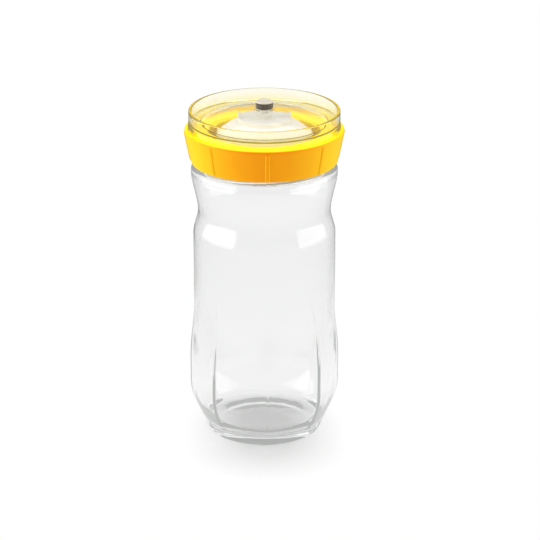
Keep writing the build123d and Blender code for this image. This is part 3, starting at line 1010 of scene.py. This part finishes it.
class FERMENTER_OT_screw_lid(JarPiece, Operator):
    """Build the yellow lid with its ribs, thread, water channel and chimney"""

    bl_idname = "fermenter.screw_lid"
    bl_label = "Screw Lid"

    def make(self, jar):
        lid = jar.lid
        bottom = level("screw_lid", 0)
        top = level("screw_lid", 1)
        ceiling = bottom + lid.skirt_length
        flange = ceiling + lid.flange
        channel = flange - lid.channel_depth
        under = channel - lid.channel_wall
        lip_bore = lid.lip_radius - lid.lip_wall
        chimney_bore = lid.chimney_radius - lid.channel_wall
        chimney_top = channel + lid.chimney_height
        slope = (lid.lip_radius - lid.skirt_radius) / (top - bottom)
        rib_top = top - lid.lip_round
        rib_bottom = bottom + lid.rib_inset
        neck = level("glass_jar", 1) - jar.glass.neck_height
        between_threads = neck - bottom + jar.thread.lead / jar.thread.starts / 2

        def shape(radius, height, angle):
            skirt = lid.skirt_radius + slope * (height - bottom)
            if radius > skirt - lid.edge_round and radius > lid.bore_radius + lid.edge_round:
                across = from_ridge(angle) * radius
                side = (lid.rib_width / 2 - across) / lid.rib_edge
                end = min(height - rib_bottom, rib_top - height) / lid.rib_edge
                rise = lid.rib_rise * max(0.0, min(1.0, side, end))
                return radius + rise, height
            if abs(radius - lid.bore_radius) < MERGE_DISTANCE and bottom < height < ceiling:
                raised = thread_height(
                    height, angle, bottom, ceiling, jar.thread, jar.thread.lid_depth, between_threads
                )
                return radius - raised, height
            return radius, height

        soft = lid.edge_round
        corners = [
            curve_corner(chimney_bore, under, soft),
            curve_corner(lid.channel_radius + lid.channel_wall, under, soft),
            curve_corner(lid.channel_radius + lid.channel_wall, ceiling, soft),
            curve_corner(lid.bore_radius, ceiling, 0, 46),
            curve_corner(lid.bore_radius, bottom, soft),
            curve_corner(lid.skirt_radius, bottom, soft, 26),
            curve_corner(lid.lip_radius, top, lid.lip_round),
            curve_corner(lip_bore, top, soft / 2),
            curve_corner(lip_bore, flange, soft),
            curve_corner(lid.channel_radius, flange, soft),
            curve_corner(lid.channel_radius, channel, soft),
            curve_corner(lid.chimney_radius, channel, soft),
            curve_corner(lid.chimney_radius, chimney_top, soft),
            curve_corner(chimney_bore - lid.chimney_lip, chimney_top, soft),
            curve_corner(chimney_bore - lid.chimney_lip, chimney_top - lid.chimney_lip_thickness, soft),
            curve_corner(chimney_bore, chimney_top - lid.chimney_lip_thickness),
        ]
        piece = spun_mesh("screw_lid_piece", rounded(corners), RIB_ANGLES, shape)
        plastic = lid_plastic(jar.colours, lid.bore_radius, ceiling)
        seated(piece, "screw_lid", "lid", plastic)


class FERMENTER_OT_vent_dome(JarPiece, Operator):
    """Build the white dome that stands in the water channel"""

    bl_idname = "fermenter.vent_dome"
    bl_label = "Vent Dome"

    def make(self, jar):
        vent = jar.vent
        bottom = level("vent_dome", 0)
        top = level("vent_dome", 1)
        skirt = bottom + vent.skirt_height
        bore = vent.dome_radius - vent.dome_wall
        notch_turn = vent.notch_width / 2 / vent.dome_radius
        angles = sorted(
            ROUND_ANGLES
            + [
                (tau * notch / vent.notches + side * notch_turn * stretch) % tau
                for notch in range(vent.notches)
                for side in (-1, 1)
                for stretch in (0.99, 1.01)
            ]
        )

        def flank(start, end, count):
            """The bowed flank from the flat top down to the upright skirt."""
            chord = Vector(end) - Vector(start)
            out = Vector((-chord.y, chord.x)).normalized() * vent.bulge
            points = []
            for index in range(count + 1):
                t = index / count
                point = Vector(start) + chord * t + out * 4 * t * (1 - t)
                points.append(curve_corner(point.x, point.y))
            return points

        def shape(radius, height, angle):
            turn = angle % (tau / vent.notches)
            off = min(turn, tau / vent.notches - turn)
            if off < notch_turn and height < bottom + vent.notch_height:
                return radius, bottom + vent.notch_height
            return radius, height

        inset = vent.dome_wall / 2
        ceiling = top - vent.dome_wall
        notch_top = bottom + vent.notch_height
        corners = [
            curve_corner(vent.hole_radius, top),
            *flank((vent.top_radius, top), (vent.dome_radius, skirt), 14),
            curve_corner(vent.dome_radius, notch_top),
            curve_corner(vent.dome_radius, bottom),
            curve_corner(bore, bottom),
            curve_corner(bore, notch_top),
            *reversed(flank((vent.top_radius - inset, ceiling), (bore, skirt - inset), 14)),
            curve_corner(vent.hole_radius, ceiling),
        ]
        piece = spun_mesh("vent_dome_piece", rounded(corners), angles, shape)
        seated(piece, "vent_dome", "lid", white_plastic(jar.colours))


class FERMENTER_OT_vent_cap(JarPiece, Operator):
    """Build the cap with its two lugs"""

    bl_idname = "fermenter.vent_cap"
    bl_label = "Vent Cap"

    def make(self, jar):
        vent = jar.vent
        seat = level("vent_dome", 1)
        boss_bottom = level("vent_cap", 0)
        lug_top = level("vent_cap", 1)
        disc_top = seat + vent.cap_thickness
        boss_bore = vent.boss_radius - vent.boss_wall
        corners = [
            curve_corner(0, seat),
            curve_corner(boss_bore, seat),
            curve_corner(boss_bore, boss_bottom, vent.lug_round),
            curve_corner(vent.boss_radius, boss_bottom, vent.lug_round),
            curve_corner(vent.boss_radius, seat),
            curve_corner(vent.cap_radius, seat, vent.lug_round / 2),
            curve_corner(vent.cap_radius, disc_top, vent.cap_round),
            curve_corner(0, disc_top),
        ]
        disc = spun_mesh("vent_cap_disc", rounded(corners, closed=False), ROUND_ANGLES, closed=False)
        root = disc_top - vent.lug_round * 2
        reach = sqrt(vent.cap_radius**2 - (vent.lug_length / 2) ** 2)
        blocks = []
        for side in (-1, 1):
            centre = Vector((side * (reach - vent.lug_width / 2), 0, (root + lug_top) / 2))
            size = (vent.lug_width, vent.lug_length, lug_top - root)
            blocks.append(rounded_block(centre, size, vent.lug_round))
        piece = joined("vent_cap_piece", disc, blocks, radians(38))
        seated(piece, "vent_cap", "cap", white_plastic(jar.colours))


class FERMENTER_OT_clear_cover(JarPiece, Operator):
    """Build the clear cover"""

    bl_idname = "fermenter.clear_cover"
    bl_label = "Clear Cover"

    def make(self, jar):
        cover = jar.cover
        bottom = level("clear_cover", 0)
        foot_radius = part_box("clear_cover")[1].x
        rim_radius = foot_radius - cover.step
        rim_bore = rim_radius - cover.wall
        bore = foot_radius - cover.foot_wall
        foot_top = bottom + cover.foot_height
        rim_top = bottom + cover.rim_height
        recess = rim_top - cover.recess_depth
        dome_foot = rim_bore - cover.recess_width
        seat = recess + cover.dome_rise + cover.seat_height
        soft = cover.edge_round
        seat_foot = crown_height(cover.seat_radius, dome_foot, recess, cover.dome_rise)
        outer = crown(dome_foot, recess, cover.dome_rise, cover.seat_radius, 36)
        inner = crown(dome_foot, recess - cover.shell, cover.dome_rise, cover.hole_radius, 38)
        corners = [
            curve_corner(cover.hole_radius, seat, soft / 3),
            curve_corner(cover.seat_radius, seat, soft / 3),
            curve_corner(cover.seat_radius, seat_foot),
            *outer[1:-1],
            curve_corner(dome_foot, recess, soft),
            curve_corner(rim_bore, recess, soft / 2, 3),
            curve_corner(rim_bore, rim_top, cover.rim_round, 3),
            curve_corner(rim_radius, rim_top, cover.rim_round, 4),
            curve_corner(rim_radius, foot_top, soft),
            curve_corner(foot_radius, (foot_top + bottom) / 2, soft, 3),
            curve_corner(foot_radius, bottom, soft),
            curve_corner(bore, bottom, soft, 4),
            curve_corner(bore, recess - cover.recess_floor, soft / 2),
            curve_corner(dome_foot, recess - cover.recess_floor, soft / 2),
            *reversed(inner[:-1]),
        ]
        piece = spun_mesh("clear_cover_piece", rounded(corners), ROUND_ANGLES)
        plastic = cover_plastic(jar.colours, rim_bore - MERGE_DISTANCE, recess, rim_top)
        seated(piece, "clear_cover", "cover", plastic)


class FERMENTER_OT_vent_plug(JarPiece, Operator):
    """Build the dark plug in the cover's middle"""

    bl_idname = "fermenter.vent_plug"
    bl_label = "Vent Plug"

    def make(self, jar):
        cover = jar.cover
        bottom = level("vent_plug", 0)
        top = level("vent_plug", 1)
        seat = bottom + cover.stem_length
        dish = cover.plug_radius - 2 * cover.plug_round
        corners = [
            curve_corner(0, bottom),
            curve_corner(cover.stem_radius, bottom, cover.plug_round / 2),
            curve_corner(cover.stem_radius, seat),
            curve_corner(cover.plug_radius, seat, cover.plug_round / 4),
            curve_corner(cover.plug_radius, top, cover.plug_round),
            curve_corner(dish, top, cover.plug_round / 2),
            curve_corner(dish - cover.plug_round, top - cover.plug_dish, cover.plug_round / 2),
            curve_corner(0, top - cover.plug_dish),
        ]
        piece = spun_mesh("vent_plug_piece", rounded(corners, closed=False), ROUND_ANGLES, closed=False)
        rubber = plug_rubber(jar.colours, seat - MERGE_DISTANCE, top - cover.plug_round)
        seated(piece, "vent_plug", "plug", rubber)


class FERMENTER_OT_press_spring(JarPiece, Operator):
    """Build the steel spring at the length that the frame gives it; the real spring lengthens as the plate
    goes down
    """

    bl_idname = "fermenter.press_spring"
    bl_label = "Press Spring"

    def make(self, jar):
        press = jar.press
        low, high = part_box("press_spring")
        coil_radius = high.x - press.wire_radius
        start = low.z + press.wire_radius
        end = high.z - press.wire_radius
        per_turn = 48
        around = 12
        count = press.turns * per_turn
        centres = []
        directions = []
        faces = []
        for index in range(count + 1):
            angle = tau * index / per_turn
            out = Vector((cos(angle), sin(angle), 0))
            centre = out * coil_radius + Vector((0, 0, start + (end - start) * index / count))
            for step in range(around):
                turn = tau * step / around
                centres.append(centre)
                directions.append(out * cos(turn) + Vector((0, 0, sin(turn))))
        for index in range(count):
            for step in range(around):
                a = index * around + step
                b = index * around + (step + 1) % around
                faces.append((a, b, b + around, a + around))
        faces.append(tuple(reversed(range(around))))
        faces.append(tuple(range(count * around, (count + 1) * around)))
        vertices = [tuple(centre) for centre in centres]
        mesh = bpy.data.meshes.new("press_spring_piece")
        mesh.from_pydata(vertices, [], faces)
        piece = bpy.data.objects.new("press_spring_piece", mesh)
        bpy.context.scene.collection.objects.link(piece)
        mesh.materials.append(spring_steel(jar.colours))
        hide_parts("press_spring")
        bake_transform(piece)
        for vertex, centre, direction in zip(mesh.vertices, centres, directions):
            vertex.co = centre + direction * press.wire_radius
        mesh.shade_smooth()
        mesh.set_sharp_from_angle(angle=radians(60))
        mesh.update()


class FERMENTER_OT_press_plates(JarPiece, Operator):
    """Finish the spring's holder and the press plate in white plastic"""

    bl_idname = "fermenter.press_plates"
    bl_label = "Holder and Plate"

    def make(self, jar):
        for node in ("spring_holder", "press_plate"):
            solid = bpy.data.objects[node]
            solid.data.materials.clear()
            solid.data.materials.append(white_plastic(jar.colours))


FLOOR_SIZE = 30.0
FLOOR_GAP = 0.0001
SOFTBOXES = (
    ("Left softbox", "left_power", (-1.2, -0.1, 0.45), 1.7, 1.7),
    ("Right softbox", "right_power", (1.2, -0.1, 0.4), 1.5, 1.7),
    ("Top softbox", "top_power", (0.0, 0.55, 1.2), 1.0, 0.7),
)


class FERMENTER_OT_stage(JarPiece, Operator):
    """Set the floor, the light and the camera"""

    bl_idname = "fermenter.stage"
    bl_label = "Stage"

    def make(self, jar):
        stage = jar.stage
        half = FLOOR_SIZE / 2
        corners = [(-half, -half, 0), (half, -half, 0), (half, half, 0), (-half, half, 0)]
        mesh = bpy.data.meshes.new("floor")
        mesh.from_pydata(corners, [], [(0, 1, 2, 3)])
        floor = bpy.data.objects.new("floor", mesh)
        bpy.context.scene.collection.objects.link(floor)
        floor.location.z = -FLOOR_GAP
        mesh.materials.append(floor_material(stage, jar.colours))
        set_world(stage)
        centre = Vector((0, 0, stage.target_height))
        for name, power, place, width, height in SOFTBOXES:
            add_softbox(name, Vector(place), centre, width, height, getattr(stage, power))
        lens = bpy.data.cameras.new("Camera")
        lens.lens = stage.lens
        lens.sensor_width = 36
        lens.shift_x = stage.shift
        lens.clip_end = 100
        camera = bpy.data.objects.new("Camera", lens)
        bpy.context.scene.collection.objects.link(camera)
        toward = Vector(
            (sin(stage.azimuth) * cos(stage.pitch), -cos(stage.azimuth) * cos(stage.pitch), sin(stage.pitch))
        )
        camera.location = centre + toward * stage.distance
        camera.rotation_euler = (-toward).to_track_quat("-Z", "Y").to_euler()
        bpy.context.scene.camera = camera
        bpy.context.scene.view_settings.view_transform = "Standard"


def floor_material(stage, colours):
    """Pale floor that reads as white, keeps the soft shadow, and is dimmer to gloss far away."""
    material = bpy.data.materials.new("Pale floor")
    material.use_nodes = True
    tree = material.node_tree
    tree.nodes.clear()
    output = tree.nodes.new("ShaderNodeOutputMaterial")
    diffuse = add_node(tree, "ShaderNodeBsdfDiffuse")
    diffuse.inputs["Color"].default_value = (*colours.floor, 1)
    white = add_node(tree, "ShaderNodeEmission", values={"Strength": 1.0})
    dim = add_node(tree, "ShaderNodeEmission", values={"Strength": stage.far_level})
    path = tree.nodes.new("ShaderNodeLightPath")
    seen = maths(tree, "ADD", path.outputs["Is Camera Ray"], path.outputs["Is Glossy Ray"])
    seen = maths(tree, "ADD", seen, path.outputs["Is Transmission Ray"], clamp=True)
    place = tree.nodes.new("ShaderNodeTexCoord")
    away = add_node(tree, "ShaderNodeVectorMath", operation="LENGTH")
    tree.links.new(place.outputs["Object"], away.inputs[0])
    far = add_node(
        tree, "ShaderNodeMapRange", values={"From Min": stage.near_floor, "From Max": stage.far_floor}
    )
    tree.links.new(away.outputs["Value"], far.inputs["Value"])
    around = add_node(
        tree,
        "ShaderNodeMapRange",
        values={"From Min": stage.shadow_start, "From Max": stage.shadow_end, "To Min": stage.floor_glow},
    )
    parts = tree.nodes.new("ShaderNodeSeparateXYZ")
    tree.links.new(place.outputs["Object"], parts.inputs["Vector"])
    ahead = add_node(tree, "ShaderNodeClamp", values={"Min": -stage.shadow_reach, "Max": 0.0})
    tree.links.new(parts.outputs["Y"], ahead.inputs["Value"])
    beside = tree.nodes.new("ShaderNodeCombineXYZ")
    tree.links.new(parts.outputs["X"], beside.inputs["X"])
    tree.links.new(maths(tree, "SUBTRACT", parts.outputs["Y"], ahead.outputs["Result"]), beside.inputs["Y"])
    off = add_node(tree, "ShaderNodeVectorMath", operation="LENGTH")
    tree.links.new(beside.outputs["Vector"], off.inputs[0])
    tree.links.new(off.outputs["Value"], around.inputs["Value"])
    glow = around.outputs["Result"]
    pale = tree.nodes.new("ShaderNodeMixShader")
    tree.links.new(maths(tree, "MULTIPLY", seen, glow), pale.inputs[0])
    tree.links.new(diffuse.outputs["BSDF"], pale.inputs[1])
    tree.links.new(white.outputs["Emission"], pale.inputs[2])
    mix = tree.nodes.new("ShaderNodeMixShader")
    glossy = path.outputs["Is Glossy Ray"]
    mirrored = maths(tree, "SUBTRACT", glossy, path.outputs["Is Transmission Ray"], clamp=True)
    tree.links.new(maths(tree, "MULTIPLY", far.outputs["Result"], mirrored), mix.inputs[0])
    tree.links.new(pale.outputs["Shader"], mix.inputs[1])
    tree.links.new(dim.outputs["Emission"], mix.inputs[2])
    tree.links.new(mix.outputs["Shader"], output.inputs["Surface"])
    return material


def set_world(stage):
    """White behind the jar, a dim room overhead for gloss, and an even soft light."""
    world = bpy.data.worlds.new("Studio")
    bpy.context.scene.world = world
    world.use_nodes = True
    tree = world.node_tree
    tree.nodes.clear()
    output = tree.nodes.new("ShaderNodeOutputWorld")
    background = add_node(tree, "ShaderNodeBackground")
    background.inputs["Color"].default_value = (1, 1, 1, 1)
    path = tree.nodes.new("ShaderNodeLightPath")
    place = tree.nodes.new("ShaderNodeTexCoord")
    parts = tree.nodes.new("ShaderNodeSeparateXYZ")
    tree.links.new(place.outputs["Generated"], parts.inputs["Vector"])
    overhead = add_node(
        tree,
        "ShaderNodeMapRange",
        values={"From Min": sin(stage.white_up_to), "From Max": sin(stage.dim_from), "To Min": 1.0},
    )
    overhead.inputs["To Max"].default_value = stage.room
    tree.links.new(parts.outputs["Z"], overhead.inputs["Value"])
    mirrored = maths(tree, "MULTIPLY", path.outputs["Is Glossy Ray"], overhead.outputs["Result"])
    bent = maths(tree, "MULTIPLY", path.outputs["Is Transmission Ray"], stage.bent_level)
    bent = maths(tree, "MAXIMUM", mirrored, bent)
    white = maths(tree, "MAXIMUM", path.outputs["Is Camera Ray"], bent)
    soft = maths(tree, "MULTIPLY", path.outputs["Is Diffuse Ray"], stage.ambient)
    tree.links.new(maths(tree, "MAXIMUM", white, soft), background.inputs["Strength"])
    tree.links.new(background.outputs["Background"], output.inputs["Surface"])


def add_softbox(name, place, aim, width, height, power):
    """A rectangular soft light that faces the jar."""
    light = bpy.data.lights.new(name, "AREA")
    light.shape = "RECTANGLE"
    light.size = width
    light.size_y = height
    light.energy = power
    lamp = bpy.data.objects.new(name, light)
    bpy.context.scene.collection.objects.link(lamp)
    lamp.location = place
    lamp.rotation_euler = (aim - place).to_track_quat("-Z", "Y").to_euler()


class FermenterJar(PropertyGroup):
    """All sizes, colours and stage settings of the jar."""

    glass: PointerProperty(type=GlassSizes, name="Glass")
    thread: PointerProperty(type=ThreadSizes, name="Thread")
    lid: PointerProperty(type=LidSizes, name="Lid")
    vent: PointerProperty(type=VentSizes, name="Vent")
    cover: PointerProperty(type=CoverSizes, name="Cover")
    press: PointerProperty(type=PressSizes, name="Press")
    colours: PointerProperty(type=Colours, name="Colours")
    stage: PointerProperty(type=StageSettings, name="Stage")


PIECE_OPERATORS = (
    FERMENTER_OT_glass_jar,
    FERMENTER_OT_jar_gasket,
    FERMENTER_OT_screw_lid,
    FERMENTER_OT_vent_dome,
    FERMENTER_OT_vent_cap,
    FERMENTER_OT_clear_cover,
    FERMENTER_OT_vent_plug,
    FERMENTER_OT_press_spring,
    FERMENTER_OT_press_plates,
    FERMENTER_OT_stage,
)


class FERMENTER_PT_panel(Panel):
    """The jar's sizes, colours and build buttons"""

    bl_idname = "FERMENTER_PT_panel"
    bl_label = "Fermenter Jar"
    bl_space_type = "VIEW_3D"
    bl_region_type = "UI"
    bl_category = "Fermenter Jar"

    def draw(self, context):
        jar = context.scene.fermenter_jar
        for group in ("glass", "thread", "lid", "vent", "cover", "press", "colours", "stage"):
            box = self.layout.box()
            settings = getattr(jar, group)
            for name in settings.__annotations__:
                box.prop(settings, name)
        for operator in PIECE_OPERATORS:
            self.layout.operator(operator.bl_idname)


CLASSES = (
    GlassSizes,
    ThreadSizes,
    LidSizes,
    VentSizes,
    CoverSizes,
    PressSizes,
    Colours,
    StageSettings,
    FermenterJar,
    *PIECE_OPERATORS,
    FERMENTER_PT_panel,
)


def register():
    for item in CLASSES:
        bpy.utils.register_class(item)
    bpy.types.Scene.fermenter_jar = PointerProperty(type=FermenterJar)


def unregister():
    del bpy.types.Scene.fermenter_jar
    for item in reversed(CLASSES):
        bpy.utils.unregister_class(item)


def main():
    """Builds every piece."""
    register()
    bpy.ops.fermenter.glass_jar()
    bpy.ops.fermenter.jar_gasket()
    bpy.ops.fermenter.screw_lid()
    bpy.ops.fermenter.vent_dome()
    bpy.ops.fermenter.vent_cap()
    bpy.ops.fermenter.clear_cover()
    bpy.ops.fermenter.vent_plug()
    bpy.ops.fermenter.press_spring()
    bpy.ops.fermenter.press_plates()
    bpy.ops.fermenter.stage()


if __name__ == "__main__":
    main()
